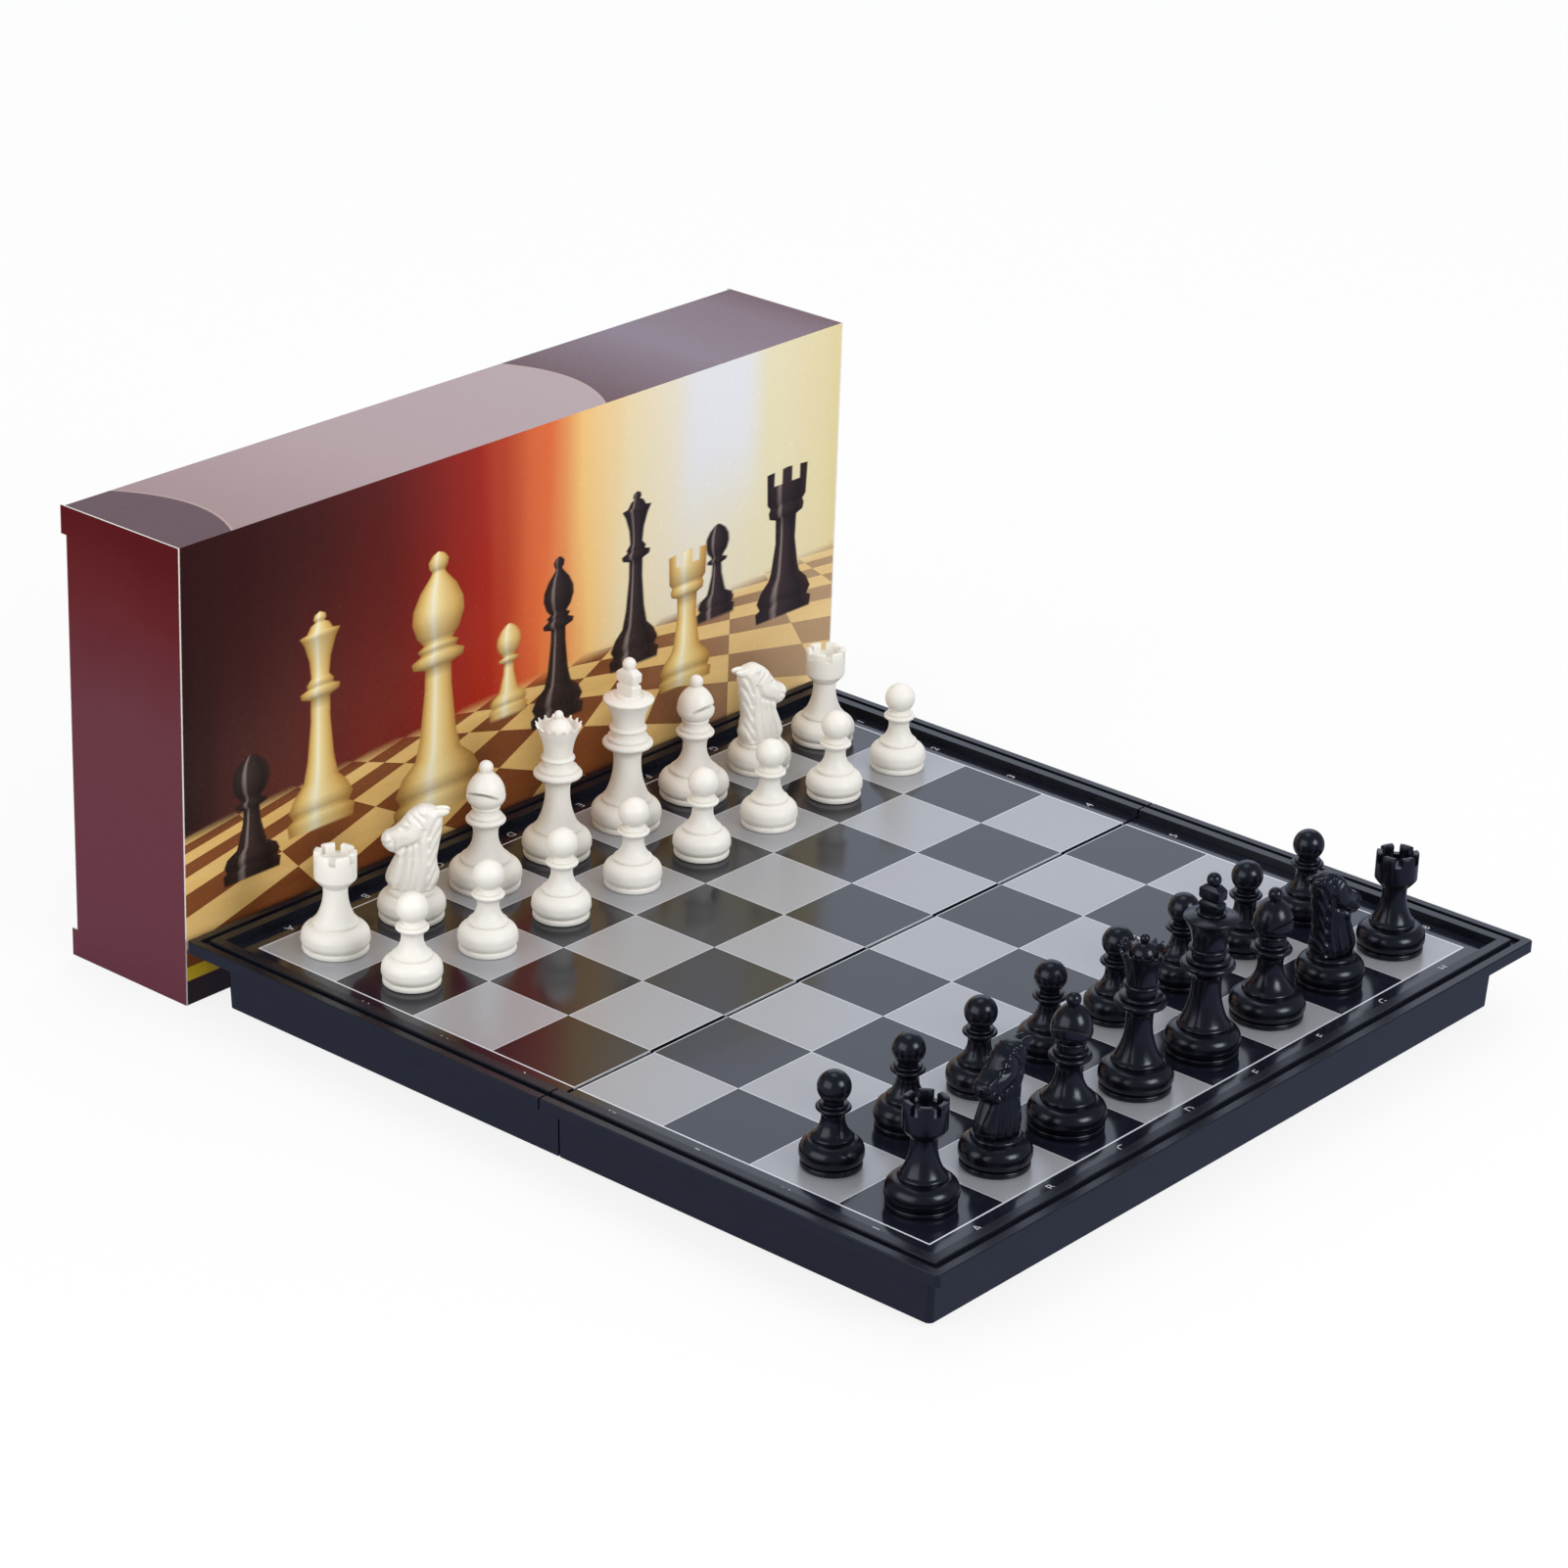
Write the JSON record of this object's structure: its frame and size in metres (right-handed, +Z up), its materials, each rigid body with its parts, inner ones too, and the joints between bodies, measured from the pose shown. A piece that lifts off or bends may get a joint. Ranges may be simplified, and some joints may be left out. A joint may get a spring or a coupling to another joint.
{
  "type": "folding magnetic chess set",
  "caption": "Folding magnetic chess board of two hinged half trays with steel playing plates, lift-off magnetic men and a carton with swinging end lids.",
  "frame": {"origin": "on the surface the board stands on, below the middle of the fold line", "axes": "+X from the white side to the black side, +Y along the fold line, +Z up out of the playing face"},
  "size_m": [0.3795, 0.3319, 0.1628],
  "materials": {
    "tray_plastic": "moulded, satin",
    "printed_steel": "printed and lacquered, satin",
    "pin_steel": "drawn",
    "carton_print": "printed, semi-gloss varnish",
    "carton_board": "printed, semi-gloss varnish",
    "ivory_plastic": "moulded, satin gloss",
    "black_plastic": "moulded, satin gloss"
  },
  "bodies": {
    "half_white": {"tray_white_side": "tray_plastic", "play_plate_white_side": "printed_steel", "hinge_pins": "pin_steel"},
    "half_black": {"tray_black_side": "tray_plastic", "play_plate_black_side": "printed_steel"},
    "carton": {"carton_sleeve": "carton_print"},
    "carton_lid_near": {"carton_lid_near": "carton_board"},
    "carton_lid_far": {"carton_lid_far": "carton_board"},
    "carton_dust_flap_near_top": {"carton_dust_flap_near_top": "carton_board"},
    "carton_dust_flap_near_bottom": {"carton_dust_flap_near_bottom": "carton_board"},
    "carton_dust_flap_far_top": {"carton_dust_flap_far_top": "carton_board"},
    "carton_dust_flap_far_bottom": {"carton_dust_flap_far_bottom": "carton_board"},
    "white_rook_1": {"white_rook_1": "ivory_plastic"},
    "white_knight_1": {"white_knight_1": "ivory_plastic"},
    "white_bishop_1": {"white_bishop_1": "ivory_plastic"},
    "white_queen": {"white_queen": "ivory_plastic"},
    "white_king": {"white_king": "ivory_plastic"},
    "white_bishop_2": {"white_bishop_2": "ivory_plastic"},
    "white_knight_2": {"white_knight_2": "ivory_plastic"},
    "white_rook_2": {"white_rook_2": "ivory_plastic"},
    "white_pawn_1": {"white_pawn_1": "ivory_plastic"},
    "white_pawn_2": {"white_pawn_2": "ivory_plastic"},
    "white_pawn_3": {"white_pawn_3": "ivory_plastic"},
    "white_pawn_4": {"white_pawn_4": "ivory_plastic"},
    "white_pawn_5": {"white_pawn_5": "ivory_plastic"},
    "white_pawn_6": {"white_pawn_6": "ivory_plastic"},
    "white_pawn_7": {"white_pawn_7": "ivory_plastic"},
    "white_pawn_8": {"white_pawn_8": "ivory_plastic"},
    "black_rook_1": {"black_rook_1": "black_plastic"},
    "black_knight_1": {"black_knight_1": "black_plastic"},
    "black_bishop_1": {"black_bishop_1": "black_plastic"},
    "black_queen": {"black_queen": "black_plastic"},
    "black_king": {"black_king": "black_plastic"},
    "black_bishop_2": {"black_bishop_2": "black_plastic"},
    "black_knight_2": {"black_knight_2": "black_plastic"},
    "black_rook_2": {"black_rook_2": "black_plastic"},
    "black_pawn_1": {"black_pawn_1": "black_plastic"},
    "black_pawn_2": {"black_pawn_2": "black_plastic"},
    "black_pawn_3": {"black_pawn_3": "black_plastic"},
    "black_pawn_4": {"black_pawn_4": "black_plastic"},
    "black_pawn_5": {"black_pawn_5": "black_plastic"},
    "black_pawn_6": {"black_pawn_6": "black_plastic"},
    "black_pawn_7": {"black_pawn_7": "black_plastic"},
    "black_pawn_8": {"black_pawn_8": "black_plastic"}
  },
  "joints": [
    {"name": "board_fold", "type": "hinge", "parent": "half_white", "child": "half_black", "pos_m": [0, 0, 0.0018], "axis": [0, 1, 0], "range_deg": [0, 180]},
    {"name": "carton_lid_near_swing", "type": "hinge", "parent": "carton", "child": "carton_lid_near", "pos_m": [-0.1633, -0.1557, 0.0814], "axis": [0, 0, 1], "range_deg": [0, 100]},
    {"name": "carton_lid_far_swing", "type": "hinge", "parent": "carton", "child": "carton_lid_far", "pos_m": [-0.1633, 0.1723, 0.0814], "axis": [0, 0, -1], "range_deg": [0, 100]},
    {"name": "carton_dust_flap_near_top_push", "type": "hinge", "parent": "carton", "child": "carton_dust_flap_near_top", "pos_m": [-0.188, -0.1549, 0.1622], "axis": [1, 0, 0], "range_deg": [0, 45], "stiffness_Nm_per_rad": 0.001, "springref_deg": -17.19},
    {"name": "carton_dust_flap_near_bottom_push", "type": "hinge", "parent": "carton", "child": "carton_dust_flap_near_bottom", "pos_m": [-0.188, -0.1549, 0.0006], "axis": [-1, 0, 0], "range_deg": [0, 45], "stiffness_Nm_per_rad": 0.001, "springref_deg": -17.19},
    {"name": "carton_dust_flap_far_top_push", "type": "hinge", "parent": "carton", "child": "carton_dust_flap_far_top", "pos_m": [-0.188, 0.1715, 0.1622], "axis": [-1, 0, 0], "range_deg": [0, 45], "stiffness_Nm_per_rad": 0.001, "springref_deg": -17.19},
    {"name": "carton_dust_flap_far_bottom_push", "type": "hinge", "parent": "carton", "child": "carton_dust_flap_far_bottom", "pos_m": [-0.188, 0.1715, 0.0006], "axis": [1, 0, 0], "range_deg": [0, 45], "stiffness_Nm_per_rad": 0.001, "springref_deg": -17.19},
    {"name": "carton_slide", "type": "slide", "parent": "half_white", "child": "carton", "axis": [-1, 0, 0], "range_m": [0, 0.2]},
    {"name": "white_rook_1_lift", "type": "slide", "parent": "half_white", "child": "white_rook_1", "axis": [0, 0, 1], "range_m": [0, 0.09]},
    {"name": "white_knight_1_lift", "type": "slide", "parent": "half_white", "child": "white_knight_1", "axis": [0, 0, 1], "range_m": [0, 0.09]},
    {"name": "white_bishop_1_lift", "type": "slide", "parent": "half_white", "child": "white_bishop_1", "axis": [0, 0, 1], "range_m": [0, 0.09]},
    {"name": "white_queen_lift", "type": "slide", "parent": "half_white", "child": "white_queen", "axis": [0, 0, 1], "range_m": [0, 0.09]},
    {"name": "white_king_lift", "type": "slide", "parent": "half_white", "child": "white_king", "axis": [0, 0, 1], "range_m": [0, 0.09]},
    {"name": "white_bishop_2_lift", "type": "slide", "parent": "half_white", "child": "white_bishop_2", "axis": [0, 0, 1], "range_m": [0, 0.09]},
    {"name": "white_knight_2_lift", "type": "slide", "parent": "half_white", "child": "white_knight_2", "axis": [0, 0, 1], "range_m": [0, 0.09]},
    {"name": "white_rook_2_lift", "type": "slide", "parent": "half_white", "child": "white_rook_2", "axis": [0, 0, 1], "range_m": [0, 0.09]},
    {"name": "white_pawn_1_lift", "type": "slide", "parent": "half_white", "child": "white_pawn_1", "axis": [0, 0, 1], "range_m": [0, 0.09]},
    {"name": "white_pawn_2_lift", "type": "slide", "parent": "half_white", "child": "white_pawn_2", "axis": [0, 0, 1], "range_m": [0, 0.09]},
    {"name": "white_pawn_3_lift", "type": "slide", "parent": "half_white", "child": "white_pawn_3", "axis": [0, 0, 1], "range_m": [0, 0.09]},
    {"name": "white_pawn_4_lift", "type": "slide", "parent": "half_white", "child": "white_pawn_4", "axis": [0, 0, 1], "range_m": [0, 0.09]},
    {"name": "white_pawn_5_lift", "type": "slide", "parent": "half_white", "child": "white_pawn_5", "axis": [0, 0, 1], "range_m": [0, 0.09]},
    {"name": "white_pawn_6_lift", "type": "slide", "parent": "half_white", "child": "white_pawn_6", "axis": [0, 0, 1], "range_m": [0, 0.09]},
    {"name": "white_pawn_7_lift", "type": "slide", "parent": "half_white", "child": "white_pawn_7", "axis": [0, 0, 1], "range_m": [0, 0.09]},
    {"name": "white_pawn_8_lift", "type": "slide", "parent": "half_white", "child": "white_pawn_8", "axis": [0, 0, 1], "range_m": [0, 0.09]},
    {"name": "black_rook_1_lift", "type": "slide", "parent": "half_black", "child": "black_rook_1", "axis": [0, 0, 1], "range_m": [0, 0.09]},
    {"name": "black_knight_1_lift", "type": "slide", "parent": "half_black", "child": "black_knight_1", "axis": [0, 0, 1], "range_m": [0, 0.09]},
    {"name": "black_bishop_1_lift", "type": "slide", "parent": "half_black", "child": "black_bishop_1", "axis": [0, 0, 1], "range_m": [0, 0.09]},
    {"name": "black_queen_lift", "type": "slide", "parent": "half_black", "child": "black_queen", "axis": [0, 0, 1], "range_m": [0, 0.09]},
    {"name": "black_king_lift", "type": "slide", "parent": "half_black", "child": "black_king", "axis": [0, 0, 1], "range_m": [0, 0.09]},
    {"name": "black_bishop_2_lift", "type": "slide", "parent": "half_black", "child": "black_bishop_2", "axis": [0, 0, 1], "range_m": [0, 0.09]},
    {"name": "black_knight_2_lift", "type": "slide", "parent": "half_black", "child": "black_knight_2", "axis": [0, 0, 1], "range_m": [0, 0.09]},
    {"name": "black_rook_2_lift", "type": "slide", "parent": "half_black", "child": "black_rook_2", "axis": [0, 0, 1], "range_m": [0, 0.09]},
    {"name": "black_pawn_1_lift", "type": "slide", "parent": "half_black", "child": "black_pawn_1", "axis": [0, 0, 1], "range_m": [0, 0.09]},
    {"name": "black_pawn_2_lift", "type": "slide", "parent": "half_black", "child": "black_pawn_2", "axis": [0, 0, 1], "range_m": [0, 0.09]},
    {"name": "black_pawn_3_lift", "type": "slide", "parent": "half_black", "child": "black_pawn_3", "axis": [0, 0, 1], "range_m": [0, 0.09]},
    {"name": "black_pawn_4_lift", "type": "slide", "parent": "half_black", "child": "black_pawn_4", "axis": [0, 0, 1], "range_m": [0, 0.09]},
    {"name": "black_pawn_5_lift", "type": "slide", "parent": "half_black", "child": "black_pawn_5", "axis": [0, 0, 1], "range_m": [0, 0.09]},
    {"name": "black_pawn_6_lift", "type": "slide", "parent": "half_black", "child": "black_pawn_6", "axis": [0, 0, 1], "range_m": [0, 0.09]},
    {"name": "black_pawn_7_lift", "type": "slide", "parent": "half_black", "child": "black_pawn_7", "axis": [0, 0, 1], "range_m": [0, 0.09]},
    {"name": "black_pawn_8_lift", "type": "slide", "parent": "half_black", "child": "black_pawn_8", "axis": [0, 0, 1], "range_m": [0, 0.09]}
  ]
}
